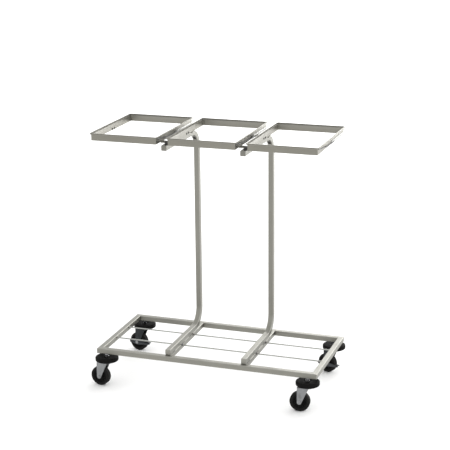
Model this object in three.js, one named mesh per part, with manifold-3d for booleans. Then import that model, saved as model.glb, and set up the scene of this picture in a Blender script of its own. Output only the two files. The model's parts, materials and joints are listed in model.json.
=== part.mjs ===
// Linen trolley: three bag frames carried on two C-shaped square tubes over a castored base.
// Millimetres. +X runs to the trolley's right, +Y to its back, +Z up. The floor is z = 0.
// Pieces are placed from the middle of the base; the castors trail to the left, so the finished trolley is
// then moved right until the middle of its overall length is over the origin.

import * as THREE from 'three';
import { mergeVertices } from 'three/addons/utils/BufferGeometryUtils.js';
import Module from 'manifold-3d';

const wasm = await Module();
wasm.setup();

const MOVED_RIGHT = 11;

// clearances
const GAP = 0.3; // between pieces that touch
const OVERCUT = 2; // how far a cutter runs past the face it opens

// square tube
const TUBE = 20;
const TUBE_WALL = 1.5;
const TUBE_CORNER = 2;
const TUBE_BORE = TUBE - 2 * TUBE_WALL;
const CORNER_STEPS = 1; // curve segments, of which three.js makes two to a corner

// base
const BASE_WIDTH = 860;
const BASE_DEPTH = 400;
const RAIL_TOP = 150;
const RAIL_MIDDLE = RAIL_TOP - TUBE / 2;
const RAIL_UNDERSIDE = RAIL_TOP - TUBE;
const RAIL_INNER_Y = BASE_DEPTH / 2 - TUBE;
const RAIL_INNER_X = BASE_WIDTH / 2 - TUBE;
const WIRE_RADIUS = 2.5;
const WIRE_Z = 145;
const WIRE_SPACING = 119;

// uprights, bent from one tube each
const UPRIGHT_X = 148.5;
const UPRIGHT_Y = 165;
const BEND_RADIUS = 70;
const BEND_STEPS = 6;
const FOOT_FRONT = -181;
const FOOT_Z = RAIL_TOP + GAP + TUBE / 2;
const ARM_FRONT = -176;
const ARM_TOP = 948;
const ARM_Z = ARM_TOP - TUBE / 2;
const CAP_FACE = 3;
const CAP_PLUG = 14;

// bag frames
const FRAME_PITCH = 2 * UPRIGHT_X;
const FRAME_WIDTH = 253;
const FRAME_DEPTH = 372;
const FRAME_Y = -10;
const FRAME_TOP = 980;
const FRAME_HEIGHT = 27;
const FRAME_UNDERSIDE = FRAME_TOP - FRAME_HEIGHT;
const FRAME_PLATE = 2.5;
const FRAME_LIP = 5;
const FRAME_CORNER = 3;
const STRAP_WIDTH = 24;
const STRAP_REACH = 27;
const STRAP_YS = { front: -130, rear: 60 };
const STOP = { width: 20, depth: 18, height: 11, y: -166 };

// bag clips, one along each side of each frame
const CLIP_LEAF = { height: 11, plate: 1.2, lift: 1, front: -14, rear: 170 };
const CLIP_WIRE = { radius: 1.5, front: -190, rear: 24, sink: 0.4 };
const CLIP_WIRE_PATH = { tipDrop: 6, baseDrop: 22, curve: 2.4, steps: 10 }; // drops are from the frame's top
const RIVET_YS = [-8, 12];
const RIVET_RISE = 4.6;
const RIVET_RADIUS = 2;
const RIVET_HEAD = { radius: 3.6, height: 1.4 };

// castors
const CASTOR_INSET = 36;
const CASTOR_X = BASE_WIDTH / 2 - CASTOR_INSET;
const CASTOR_Y = BASE_DEPTH / 2 - TUBE / 2;
const WHEEL_SIDES = 28;
const WHEEL_RADIUS = 37.75;
const WHEEL_WIDTH = 25;
const AXLE_Z = WHEEL_RADIUS * Math.cos(Math.PI / WHEEL_SIDES);
const TYRE_SHOULDER = { side: 4, edge: 1.2, edgeIn: 2, treadIn: 6 };
const HUB = { radius: 28, width: 29, boss: 9, web: 7, rimInner: 24, rimIn: 1.5 };
const HUB_SIDES = 20;
const TRAIL = 28;
const AXLE_RADIUS = 4;
const AXLE_HEAD = { radius: 6.5, height: 3.5 };
const FORK_PLATE = 2.5;
const FORK_INNER = 15.2;
const FORK_OUTER = FORK_INNER + FORK_PLATE;
const FORK_TOP = 96;
const FORK_FRONT = -18;
const FORK_LEG_FRONT = -7;
const FORK_TOE = 8.5;
const FORK_TOE_FROM = 1.13 * Math.PI; // where the slanted edge runs into the round toe
const FORK_CUP = { radius: 17, top: 99.4, sides: 20 };
const BUMPER = { radius: 44, bottom: 99.8, top: 119, taper: 10, edge: 3, sides: 28 };
const PIN_RADIUS = 5;
const PIN_SIDES = 12;
const COLLAR_RADIUS = 8;
const PIN_TOP = RAIL_TOP - 4;
const PIN_HEAD = { radius: 8, height: 2.6 };
const TOE_STEPS = 8;
const LEVER = { plate: 2, pedalRear: -43, pedal: 15, pedalWidth: 17, pedalRise: 1 };
const LEVER_OUTLINE = [[33, 4], [0, 8], [-58, 3], [-58, -1], [0, -9], [33, -3]]; // along and up from the axle

// direction each castor trails in, degrees anticlockwise from +X
const CASTORS = {
  front_left: { side: -1, end: -1, heading: 175, brake: false },
  front_right: { side: 1, end: -1, heading: 184, brake: false },
  rear_left: { side: -1, end: 1, heading: 170, brake: true },
  rear_right: { side: 1, end: 1, heading: 160, brake: true },
};

// ---- materials

function satinSteel() {
  return new THREE.MeshStandardMaterial({ color: 0xb9b8b0, roughness: 0.42, metalness: 0.75 });
}

function wireSteel() {
  return new THREE.MeshStandardMaterial({ color: 0xc4c4c4, roughness: 0.35, metalness: 0.8 });
}

function springSteel() {
  return new THREE.MeshStandardMaterial({ color: 0x8d8d8a, roughness: 0.4, metalness: 0.85 });
}

function zincSteel() {
  return new THREE.MeshStandardMaterial({ color: 0xa3a4a6, roughness: 0.35, metalness: 0.85 });
}

function blackPlastic() {
  return new THREE.MeshStandardMaterial({ color: 0x2b2b2b, roughness: 0.6, metalness: 0 });
}

function darkPlastic() {
  return new THREE.MeshStandardMaterial({ color: 0x55554f, roughness: 0.55, metalness: 0 });
}

function blackRubber() {
  return new THREE.MeshStandardMaterial({ color: 0x232323, roughness: 0.8, metalness: 0 });
}

// ---- solids

function toSolid(geometry) {
  const bare = geometry.index ? geometry.toNonIndexed() : geometry.clone();
  bare.deleteAttribute('normal');
  bare.deleteAttribute('uv');
  const merged = mergeVertices(bare, 1e-4);
  return new wasm.Manifold(new wasm.Mesh({
    numProp: 3,
    vertProperties: Float32Array.from(merged.attributes.position.array),
    triVerts: Uint32Array.from(merged.index.array),
  }));
}

function toGeometry(solid) {
  const mesh = solid.getMesh();
  const geometry = new THREE.BufferGeometry();
  geometry.setAttribute('position', new THREE.BufferAttribute(mesh.vertProperties, 3));
  geometry.setIndex(new THREE.BufferAttribute(mesh.triVerts, 1));
  geometry.computeVertexNormals();
  return geometry;
}

function join(...geometries) {
  return toGeometry(geometries.map(toSolid).reduce((whole, next) => whole.add(next)));
}

function cut(geometry, ...cutters) {
  return toGeometry(cutters.map(toSolid).reduce((whole, next) => whole.subtract(next), toSolid(geometry)));
}

function box(low, high) {
  const size = high.map((value, k) => Math.abs(value - low[k]));
  const middle = high.map((value, k) => (value + low[k]) / 2);
  return new THREE.BoxGeometry(...size).translate(...middle);
}

// round bar along an axis, centred on a point
function bar(radius, length, axis, centre, sides = PIN_SIDES) {
  const geometry = new THREE.CylinderGeometry(radius, radius, length, sides);
  if (axis === 'x') geometry.rotateZ(Math.PI / 2);
  if (axis === 'z') geometry.rotateX(Math.PI / 2);
  return geometry.translate(...centre);
}

function roundedRectangle(Kind, width, height, corner) {
  const x = width / 2;
  const y = height / 2;
  const path = new Kind();
  path.moveTo(-x + corner, -y);
  path.lineTo(x - corner, -y);
  path.absarc(x - corner, -y + corner, corner, -Math.PI / 2, 0);
  path.lineTo(x, y - corner);
  path.absarc(x - corner, y - corner, corner, 0, Math.PI / 2);
  path.lineTo(-x + corner, y);
  path.absarc(-x + corner, y - corner, corner, Math.PI / 2, Math.PI);
  path.lineTo(-x, -y + corner);
  path.absarc(-x + corner, -y + corner, corner, Math.PI, 1.5 * Math.PI);
  return path;
}

function squareHole(size) {
  const half = size / 2;
  const corners = [[-half, -half], [-half, half], [half, half], [half, -half]];
  return new THREE.Path(corners.map(([x, y]) => new THREE.Vector2(x, y)));
}

function tubeSection() {
  const section = roundedRectangle(THREE.Shape, TUBE, TUBE, TUBE_CORNER);
  section.holes.push(squareHole(TUBE_BORE));
  return section;
}

// straight tube along Y, centred on the origin
function straightTube(length) {
  const geometry = new THREE.ExtrudeGeometry(tubeSection(), {
    depth: length, bevelEnabled: false, curveSegments: CORNER_STEPS,
  });
  return geometry.translate(0, 0, -length / 2).rotateX(Math.PI / 2);
}

// tube along Y whose ends are sheared to 45 degrees; its outer face looks along outward (-1 or 1) in X
function mitredTube(length, outward) {
  const geometry = straightTube(length);
  const position = geometry.attributes.position;
  for (let i = 0; i < position.count; i += 1) {
    const inset = TUBE / 2 - outward * position.getX(i) + GAP / 2;
    position.setY(i, position.getY(i) - Math.sign(position.getY(i)) * inset);
  }
  return geometry;
}

// a route through listed points with a listed direction at each, one extrusion step per point
class Route extends THREE.Curve {
  constructor(points, tangents) {
    super();
    this.points = points;
    this.tangents = tangents;
  }

  getPointAt(u, target = new THREE.Vector3()) {
    return target.copy(this.points[Math.round(u * (this.points.length - 1))]);
  }

  getTangentAt(u, target = new THREE.Vector3()) {
    return target.copy(this.tangents[Math.round(u * (this.points.length - 1))]);
  }
}

// ---- base

function crossRail(end) {
  const tube = mitredTube(BASE_WIDTH, end).rotateZ(Math.PI / 2);
  tube.translate(0, end * (BASE_DEPTH - TUBE) / 2, RAIL_MIDDLE);
  const z = RAIL_UNDERSIDE + TUBE_WALL / 2;
  const holes = [-1, 1].map((side) => bar(
    PIN_RADIUS + GAP, TUBE_WALL + 2 * OVERCUT, 'z', [side * CASTOR_X, end * CASTOR_Y, z],
  ));
  return cut(tube, ...holes);
}

function sideRail(side) {
  return mitredTube(BASE_DEPTH, side).translate(side * (BASE_WIDTH - TUBE) / 2, 0, RAIL_MIDDLE);
}

function crossMember(side) {
  const tube = straightTube(2 * (RAIL_INNER_Y - GAP)).translate(side * UPRIGHT_X, 0, RAIL_MIDDLE);
  const holes = [-1, 1].map((end) => bar(
    WIRE_RADIUS + GAP, TUBE + 2 * OVERCUT, 'x', [side * UPRIGHT_X, end * WIRE_SPACING / 2, WIRE_Z],
  ));
  return cut(tube, ...holes);
}

function shelfWire(end) {
  return bar(WIRE_RADIUS, 2 * (RAIL_INNER_X - GAP), 'x', [0, end * WIRE_SPACING / 2, WIRE_Z]);
}

// ---- uprights

function uprightRoute() {
  const points = [];
  const tangents = [];
  const add = (y, z, angle) => {
    points.push(new THREE.Vector3(0, y, z));
    tangents.push(new THREE.Vector3(0, Math.cos(angle), Math.sin(angle)));
  };
  const bendY = UPRIGHT_Y - BEND_RADIUS;
  const bends = [
    { z: FOOT_Z + BEND_RADIUS, start: 0 },
    { z: ARM_Z - BEND_RADIUS, start: Math.PI / 2 },
  ];
  add(FOOT_FRONT, FOOT_Z, 0);
  for (const bend of bends) {
    for (let i = 0; i <= BEND_STEPS; i += 1) {
      const angle = bend.start + (Math.PI / 2) * (i / BEND_STEPS);
      add(bendY + BEND_RADIUS * Math.sin(angle), bend.z - BEND_RADIUS * Math.cos(angle), angle);
    }
  }
  add(ARM_FRONT, ARM_Z, Math.PI);
  return new Route(points, tangents);
}

function upright(side) {
  const route = uprightRoute();
  const geometry = new THREE.ExtrudeGeometry(tubeSection(), {
    steps: route.points.length - 1, extrudePath: route, curveSegments: CORNER_STEPS,
  });
  return geometry.translate(side * UPRIGHT_X, 0, 0);
}

// square plug with its face at the tube's front end
function endCap(side, tubeFront, z) {
  const x = side * UPRIGHT_X;
  const back = tubeFront - GAP;
  const half = TUBE_BORE / 2 - GAP;
  const face = new THREE.ExtrudeGeometry(
    roundedRectangle(THREE.Shape, TUBE, TUBE, TUBE_CORNER),
    { depth: CAP_FACE, bevelEnabled: false, curveSegments: CORNER_STEPS },
  ).rotateX(Math.PI / 2).translate(x, back, z);
  const plug = box([x - half, back - CAP_FACE / 2, z - half], [x + half, back + CAP_PLUG, z + half]);
  return join(face, plug);
}

function frameStrap(side, y) {
  const x = side * UPRIGHT_X;
  const low = [x - STRAP_REACH, y - STRAP_WIDTH / 2, ARM_TOP + GAP];
  const high = [x + STRAP_REACH, y + STRAP_WIDTH / 2, FRAME_UNDERSIDE - GAP];
  return box(low, high);
}

// rubber block on the arm's nose, against the next frame's side
function armStop(side) {
  const right = side * UPRIGHT_X + (FRAME_PITCH - FRAME_WIDTH) / 2 - GAP;
  const low = [right - STOP.width, STOP.y - STOP.depth / 2, ARM_TOP + GAP];
  const high = [right, STOP.y + STOP.depth / 2, ARM_TOP + STOP.height];
  return box(low, high);
}

// ---- bag frames

// ring standing out from the frame's sides by a given amount, from a given height up to the frame's top
function frameRing(out, low) {
  const section = roundedRectangle(THREE.Shape, FRAME_WIDTH + 2 * out, FRAME_DEPTH + 2 * out, FRAME_CORNER);
  section.holes.push(roundedRectangle(
    THREE.Path, FRAME_WIDTH - 2 * FRAME_PLATE, FRAME_DEPTH - 2 * FRAME_PLATE, FRAME_CORNER - FRAME_PLATE / 2,
  ));
  const geometry = new THREE.ExtrudeGeometry(section, {
    depth: FRAME_TOP - low, bevelEnabled: false, curveSegments: CORNER_STEPS,
  });
  return geometry.translate(0, 0, low);
}

function bagFrame(place) {
  const x = place * FRAME_PITCH;
  const band = frameRing(0, FRAME_UNDERSIDE);
  const rim = frameRing(FRAME_LIP, FRAME_TOP - FRAME_PLATE);
  const holes = [-1, 1].flatMap((side) => RIVET_YS.map((y) => bar(
    RIVET_RADIUS + GAP, FRAME_PLATE + 2 * OVERCUT, 'x',
    [side * (FRAME_WIDTH - FRAME_PLATE) / 2, y - FRAME_Y, FRAME_UNDERSIDE + RIVET_RISE],
  )));
  return cut(join(band, rim), ...holes).translate(x, FRAME_Y, 0);
}

// spring leaf riveted along one side, with a wire finger rising from it to the front corner
function bagClip(place, side) {
  const bottom = FRAME_UNDERSIDE + CLIP_LEAF.lift;
  const leaf = box(
    [side * GAP, CLIP_LEAF.front, bottom],
    [side * (GAP + CLIP_LEAF.plate), CLIP_LEAF.rear, bottom + CLIP_LEAF.height],
  );
  const rivets = RIVET_YS.flatMap((y) => rivet(side, y));
  return join(leaf, clipWire(side), ...rivets).translate(place * FRAME_PITCH + side * FRAME_WIDTH / 2, 0, 0);
}

function clipWire(side) {
  const { radius, front, rear, sink } = CLIP_WIRE;
  const { tipDrop, baseDrop, curve, steps } = CLIP_WIRE_PATH;
  const x = side * (GAP + CLIP_LEAF.plate + radius - sink);
  const points = [];
  for (let i = 0; i <= steps; i += 1) {
    const t = i / steps;
    const drop = baseDrop - (baseDrop - tipDrop) * (1 - t) ** curve;
    points.push(new THREE.Vector3(x, front + (rear - front) * t, FRAME_TOP - drop));
  }
  const tangents = points.map((point, i) => {
    const before = points[Math.max(i - 1, 0)];
    const after = points[Math.min(i + 1, steps)];
    return after.clone().sub(before).normalize();
  });
  const section = new THREE.Shape().absarc(0, 0, radius, 0, 2 * Math.PI);
  const extrudePath = new Route(points, tangents);
  return new THREE.ExtrudeGeometry(section, { steps, extrudePath, curveSegments: 3 });
}

function rivet(side, y) {
  const z = FRAME_UNDERSIDE + RIVET_RISE;
  const inner = -FRAME_PLATE - GAP;
  const outer = GAP + CLIP_LEAF.plate + RIVET_HEAD.height / 2;
  const { radius, height } = RIVET_HEAD;
  const shank = bar(RIVET_RADIUS, outer - inner, 'x', [side * (outer + inner) / 2, y, z]);
  const innerHead = bar(radius, height, 'x', [side * (inner - height / 2), y, z]);
  return [shank, innerHead];
}

// ---- castors, each built with its trail along +X and its swivel axis through the origin

// [radius, height] points turned about Y; a profile that starts clear of the axis is closed into a ring
function turned(profile, sides) {
  const points = profile.map(([radius, height]) => new THREE.Vector2(radius, height));
  if (points[0].x > 0) points.push(points[0]);
  return new THREE.LatheGeometry(points, sides, Math.PI / sides);
}

function swivelPin() {
  const head = FORK_TOP - FORK_PLATE - GAP;
  const collarBottom = BUMPER.top + GAP;
  const collarTop = RAIL_UNDERSIDE - GAP;
  const profile = [
    [0, head - PIN_HEAD.height], [PIN_HEAD.radius, head - PIN_HEAD.height], [PIN_HEAD.radius, head],
    [PIN_RADIUS, head], [PIN_RADIUS, collarBottom], [COLLAR_RADIUS, collarBottom],
    [COLLAR_RADIUS, collarTop], [PIN_RADIUS, collarTop], [PIN_RADIUS, PIN_TOP], [0, PIN_TOP],
  ];
  return turned(profile, PIN_SIDES).rotateX(Math.PI / 2);
}

function bumper() {
  const { radius, bottom, top, taper, edge, sides } = BUMPER;
  const middle = (bottom + top) / 2;
  const bore = PIN_RADIUS + GAP;
  const profile = [
    [bore, bottom], [radius - taper, bottom], [radius - edge, bottom + edge], [radius, middle - edge],
    [radius, middle + edge], [radius - edge, top - edge / 2], [radius - 2 * edge, top], [bore, top],
  ];
  return turned(profile, sides).rotateX(Math.PI / 2);
}

function axleHole() {
  return new THREE.Path().absarc(TRAIL, AXLE_Z, AXLE_RADIUS + GAP, 0, 2 * Math.PI, true);
}

function forkLeg(side) {
  const outline = new THREE.Shape();
  outline.moveTo(FORK_LEG_FRONT, FORK_TOP);
  outline.absarc(TRAIL, AXLE_Z, FORK_TOE, FORK_TOE_FROM, 2 * Math.PI);
  outline.lineTo(TRAIL + FORK_TOE, FORK_TOP);
  outline.holes.push(axleHole());
  const leg = new THREE.ExtrudeGeometry(outline, {
    depth: FORK_PLATE, bevelEnabled: false, curveSegments: TOE_STEPS,
  });
  leg.rotateX(Math.PI / 2);
  return leg.translate(0, side > 0 ? FORK_OUTER : -FORK_INNER, 0);
}

function fork() {
  const cupBottom = FORK_TOP - FORK_PLATE / 2;
  const plate = box(
    [FORK_FRONT, -FORK_OUTER, FORK_TOP - FORK_PLATE],
    [TRAIL + FORK_TOE, FORK_OUTER, FORK_TOP],
  );
  const cup = bar(
    FORK_CUP.radius, FORK_CUP.top - cupBottom, 'z', [0, 0, (FORK_CUP.top + cupBottom) / 2], FORK_CUP.sides,
  );
  const bore = bar(PIN_RADIUS + GAP, FORK_CUP.top - FORK_TOP + FORK_CUP.radius, 'z', [0, 0, FORK_TOP]);
  return cut(join(plate, cup, forkLeg(-1), forkLeg(1)), bore);
}

// the heads stand clear of the legs, and of the brake lever where there is one
function axle(brake) {
  const far = FORK_OUTER + GAP;
  const near = brake ? far + LEVER.plate + GAP : far;
  const profile = [
    [0, -far - AXLE_HEAD.height], [AXLE_HEAD.radius, -far - AXLE_HEAD.height], [AXLE_HEAD.radius, -far],
    [AXLE_RADIUS, -far], [AXLE_RADIUS, near], [AXLE_HEAD.radius, near],
    [AXLE_HEAD.radius, near + AXLE_HEAD.height], [0, near + AXLE_HEAD.height],
  ];
  return turned(profile, PIN_SIDES).translate(TRAIL, 0, AXLE_Z);
}

function hub() {
  const { radius, width, boss, web, rimInner, rimIn } = HUB;
  const half = width / 2;
  const rim = WHEEL_WIDTH / 2 - rimIn;
  const bore = AXLE_RADIUS + GAP;
  const profile = [
    [bore, -half], [boss, -half], [boss + 1, -web], [rimInner - 1, -web], [rimInner, -rim], [radius, -rim],
    [radius, rim], [rimInner, rim], [rimInner - 1, web], [boss + 1, web], [boss, half], [bore, half],
  ];
  return turned(profile, HUB_SIDES).translate(TRAIL, 0, AXLE_Z);
}

function tyre() {
  const { side, edge, edgeIn, treadIn } = TYRE_SHOULDER;
  const half = WHEEL_WIDTH / 2;
  const bore = HUB.radius + GAP;
  const profile = [
    [bore, 1 - half], [WHEEL_RADIUS - side, -half], [WHEEL_RADIUS - edge, edgeIn - half],
    [WHEEL_RADIUS, treadIn - half], [WHEEL_RADIUS, half - treadIn], [WHEEL_RADIUS - edge, half - edgeIn],
    [WHEEL_RADIUS - side, half], [bore, half - 1],
  ];
  return turned(profile, WHEEL_SIDES).translate(TRAIL, 0, AXLE_Z);
}

// flat lever on the axle outside the leg, with a pedal bent across behind the wheel
function brakeLever() {
  const outline = new THREE.Shape(LEVER_OUTLINE.map(([x, z]) => new THREE.Vector2(TRAIL + x, AXLE_Z + z)));
  outline.holes.push(axleHole());
  const blade = new THREE.ExtrudeGeometry(outline, {
    depth: LEVER.plate, bevelEnabled: false, curveSegments: TOE_STEPS,
  });
  const outer = FORK_OUTER + GAP + LEVER.plate;
  blade.rotateX(Math.PI / 2).translate(0, outer, 0);
  const end = TRAIL + LEVER.pedalRear;
  const low = AXLE_Z + LEVER.pedalRise;
  const pedal = box([end - LEVER.pedal, outer - LEVER.pedalWidth, low], [end, outer, low + LEVER.plate]);
  return join(blade, pedal);
}

// ---- assembly

const trolley = new THREE.Group();
trolley.position.x = MOVED_RIGHT;

function add(parent, name, geometry, material) {
  const mesh = new THREE.Mesh(geometry, material);
  mesh.name = name;
  parent.add(mesh);
}

const SIDES = { left: -1, right: 1 };
const ENDS = { front: -1, rear: 1 };
const PLACES = { left: -1, middle: 0, right: 1 };

for (const [end, sign] of Object.entries(ENDS)) {
  add(trolley, `base_rail_${end}`, crossRail(sign), satinSteel());
  add(trolley, `shelf_wire_${end}`, shelfWire(sign), wireSteel());
}

for (const [side, sign] of Object.entries(SIDES)) {
  add(trolley, `base_rail_${side}`, sideRail(sign), satinSteel());
  add(trolley, `base_cross_${side}`, crossMember(sign), satinSteel());
  add(trolley, `upright_${side}`, upright(sign), satinSteel());
  add(trolley, `foot_cap_${side}`, endCap(sign, FOOT_FRONT, FOOT_Z), darkPlastic());
  add(trolley, `arm_cap_${side}`, endCap(sign, ARM_FRONT, ARM_Z), darkPlastic());
  add(trolley, `arm_stop_${side}`, armStop(sign), blackRubber());
  for (const [end, y] of Object.entries(STRAP_YS)) {
    add(trolley, `frame_strap_${side}_${end}`, frameStrap(sign, y), satinSteel());
  }
}

for (const [place, column] of Object.entries(PLACES)) {
  add(trolley, `bag_frame_${place}`, bagFrame(column), satinSteel());
  for (const [side, sign] of Object.entries(SIDES)) {
    add(trolley, `bag_clip_${place}_frame_${side}`, bagClip(column, sign), springSteel());
  }
}

for (const [corner, { side, end, heading, brake }] of Object.entries(CASTORS)) {
  const castor = new THREE.Group();
  castor.position.set(side * CASTOR_X, end * CASTOR_Y, 0);
  castor.rotation.z = THREE.MathUtils.degToRad(heading);
  add(castor, `castor_${corner}_pin`, swivelPin(), zincSteel());
  add(castor, `castor_${corner}_bumper`, bumper(), blackPlastic());
  add(castor, `castor_${corner}_fork`, fork(), zincSteel());
  add(castor, `castor_${corner}_axle`, axle(brake), zincSteel());
  add(castor, `castor_${corner}_hub`, hub(), blackPlastic());
  add(castor, `castor_${corner}_tyre`, tyre(), blackRubber());
  if (brake) add(castor, `castor_${corner}_brake_lever`, brakeLever(), zincSteel());
  trolley.add(castor);
}

export default trolley;
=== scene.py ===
import json
import math
import random

import bmesh
import bpy
from mathutils import Matrix, Vector


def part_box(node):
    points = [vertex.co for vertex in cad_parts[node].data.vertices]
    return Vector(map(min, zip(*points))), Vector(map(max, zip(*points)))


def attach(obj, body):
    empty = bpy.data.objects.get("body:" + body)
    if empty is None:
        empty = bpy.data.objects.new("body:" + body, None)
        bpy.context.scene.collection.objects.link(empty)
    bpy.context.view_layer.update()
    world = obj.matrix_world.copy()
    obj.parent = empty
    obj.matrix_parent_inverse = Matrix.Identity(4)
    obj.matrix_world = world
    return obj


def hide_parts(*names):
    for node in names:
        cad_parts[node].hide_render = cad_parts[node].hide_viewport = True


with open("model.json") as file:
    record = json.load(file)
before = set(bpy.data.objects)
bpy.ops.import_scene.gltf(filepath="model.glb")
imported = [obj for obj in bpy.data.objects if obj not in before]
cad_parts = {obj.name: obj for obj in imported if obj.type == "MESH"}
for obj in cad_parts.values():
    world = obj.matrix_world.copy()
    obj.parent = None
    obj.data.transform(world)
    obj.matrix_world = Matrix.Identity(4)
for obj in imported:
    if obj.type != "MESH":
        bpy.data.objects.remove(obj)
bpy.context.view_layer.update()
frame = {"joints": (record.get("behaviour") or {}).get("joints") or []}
scene = bpy.context.scene
mm = 0.001
joints = {j["name"]: j for j in frame["joints"]}
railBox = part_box("base_rail_front")
# the middle of the base, from which the camera and every piece but the castors are placed
middle = Matrix.Translation(((railBox[0].x + railBox[1].x) / 2, 0, 0))
random.seed(7)


# shader nodes

class Wire:  # one socket, so that sums can be written as sums
    def __init__(self, finish, socket):
        self.finish = finish
        self.socket = socket

    def sum(self, operation, first, second):
        return self.finish.node("ShaderNodeMath", {"operation": operation}, {0: first, 1: second})

    def __add__(self, other):
        return self.sum("ADD", self, other)

    def __sub__(self, other):
        return self.sum("SUBTRACT", self, other)

    def __mul__(self, other):
        return self.sum("MULTIPLY", self, other)

    __radd__ = __add__


class Finish:  # a material and the nodes in it
    def __init__(self, name, **constant):
        self.material = bpy.data.materials.new(name)
        self.material.use_nodes = True
        self.tree = self.material.node_tree
        self.shader = self.tree.nodes["Principled BSDF"]
        for socket, value in constant.items():
            self.shader.inputs[socket.replace("_", " ")].default_value = value

    def node(self, kind, settings=None, values=None, out=0):
        made = self.tree.nodes.new(kind)
        for key, value in (settings or {}).items():
            if key == "stops":
                self.setStops(made.color_ramp, value)
            else:
                setattr(made, key, value)
        for key, value in (values or {}).items():
            self.feed(made.inputs[key], value)
        return Wire(self, made.outputs[out])

    def setStops(self, ramp, stops):
        while len(ramp.elements) < len(stops):
            ramp.elements.new(1)
        for element, (place, level) in zip(ramp.elements, stops):
            element.position = place
            element.color = (level, level, level, 1)

    def feed(self, socket, value):
        if isinstance(value, Wire):
            self.tree.links.new(value.socket, socket)
        else:
            socket.default_value = value

    def coordinate(self, kind, stretch=(1, 1, 1)):
        place = self.node("ShaderNodeTexCoord", out=kind)
        return self.node("ShaderNodeVectorMath", {"operation": "MULTIPLY"}, {0: place, 1: stretch})

    def noise(self, vector, scale, detail=2.0, roughness=0.5):
        values = {"Vector": vector, "Scale": scale, "Detail": detail, "Roughness": roughness}
        return self.node("ShaderNodeTexNoise", values=values)

    def pits(self, vector, scale):
        return self.node("ShaderNodeTexVoronoi", values={"Vector": vector, "Scale": scale})

    def ramp(self, value, *stops):
        return self.node("ShaderNodeValToRGB", {"stops": stops}, {0: value})

    def worn(self):
        return self.node("ShaderNodeAttribute", {"attribute_name": "worn"}, out="Fac")

    def blend(self, factor, first, second):
        return self.node("ShaderNodeMix", {"data_type": "RGBA"}, {0: factor, 6: first, 7: second}, 2)

    def colour(self, value):
        self.feed(self.shader.inputs["Base Color"], value)

    def rough(self, value):
        self.feed(self.shader.inputs["Roughness"], value)

    def bump(self, height, strength, distance):
        values = {"Height": height, "Strength": strength, "Distance": distance}
        self.feed(self.shader.inputs["Normal"], self.node("ShaderNodeBump", values=values))


def brushedSteel(name, look):  # brush marks run along each piece
    finish = Finish(name, Metallic=look["metallic"], IOR=1.5)
    place = finish.coordinate("Object")
    brush = finish.noise(finish.coordinate("UV", (look["streak"], look["across"], 1)), 1, 4, 0.62)
    cloud = finish.noise(place, look["cloud"], 3)
    rub = finish.ramp(finish.noise(place, look["rub"], 5, 0.65), (0.52, 0), (0.7, 1))
    worn = finish.worn()
    tone = finish.ramp(brush * 0.55 + cloud * 0.45, (0.32, 0), (0.68, 1))
    body = finish.blend(tone, look["dark"], look["pale"])
    finish.colour(finish.blend(worn * look["edge"], body, look["bare"]))
    finish.rough(look["rough"] + (brush - 0.5) * 0.22 + (cloud - 0.5) * 0.12 + rub * 0.06 - worn * 0.07)
    finish.bump(brush, look["bump"], 0.0003)
    return finish.material


def heatedWeld(name, look):
    finish = Finish(name, Metallic=0.85)
    place = finish.coordinate("Object")
    heat = finish.noise(place, 70, 3)
    grain = finish.noise(place, 900, 3)
    finish.colour(finish.blend(finish.ramp(heat, (0.35, 0), (0.65, 1)), look["straw"], look["blue"]))
    finish.rough(0.42 + grain * 0.2)
    finish.bump(grain, 0.25, 0.0004)
    return finish.material


def platedZinc(name, look):
    finish = Finish(name, Metallic=0.9)
    place = finish.coordinate("Object")
    mottle = finish.noise(place, 55, 4, 0.6)
    spots = finish.ramp(finish.pits(place, 420), (0.0, 1), (0.16, 0))
    grime = finish.ramp(finish.noise(place, 24, 5, 0.7), (0.5, 0), (0.72, 1))
    worn = finish.worn()
    body = finish.blend(mottle, look["dark"], look["pale"])
    body = finish.blend(grime * 0.5 + spots * 0.25, body, look["grime"])
    finish.colour(finish.blend(worn * 0.5, body, look["bare"]))
    finish.rough(look["rough"] + (mottle - 0.5) * 0.25 + grime * 0.16 - worn * 0.08)
    finish.bump(mottle + spots * 0.4, 0.12, 0.0003)
    return finish.material


def mouldedPlastic(name, look):
    finish = Finish(name, Specular_IOR_Level=look["gloss"])
    place = finish.coordinate("Object")
    grain = finish.pits(place, look["grain"])
    cloud = finish.noise(place, 30, 4, 0.6)
    dust = finish.ramp(finish.noise(place, 95, 6, 0.7), (0.56, 0), (0.78, 1))
    worn = finish.worn()
    body = finish.blend(cloud, look["dark"], look["pale"])
    body = finish.blend(dust * look["dusty"], body, look["dust"])
    finish.colour(finish.blend(worn * look["edge"], body, look["rubbed"]))
    finish.rough(look["rough"] + (cloud - 0.5) * 0.14 + dust * 0.12 - worn * 0.1)
    finish.bump(grain, look["bump"], 0.0003)
    return finish.material


def treadRubber(name, look):  # scuffed and dusty where it rolls
    finish = Finish(name, Specular_IOR_Level=0.1)
    place = finish.coordinate("Object")
    scuff = finish.noise(finish.coordinate("UV", (40, 500, 1)), 1, 5, 0.7)
    fine = finish.noise(place, 1300, 3)
    dust = finish.ramp(finish.noise(place, 60, 6, 0.72), (0.5, 0), (0.76, 1))
    worn = finish.worn()
    body = finish.blend(scuff, look["dark"], look["pale"])
    body = finish.blend(dust * look["dusty"], body, look["dust"])
    finish.colour(finish.blend(worn * 0.3, body, look["rubbed"]))
    finish.rough(0.66 + (scuff - 0.5) * 0.25 + dust * 0.12)
    finish.bump(fine + scuff * 0.8, 0.22, 0.0003)
    return finish.material


def paperFloor(look):
    finish = Finish("paperFloor", Specular_IOR_Level=0.2)
    tooth = finish.noise(finish.coordinate("Object"), 260, 3)
    finish.colour(finish.blend(tooth, look["dark"], look["pale"]))
    finish.rough(0.86 + tooth * 0.08)
    finish.bump(tooth, 0.03, 0.001)
    return finish.material


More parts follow.
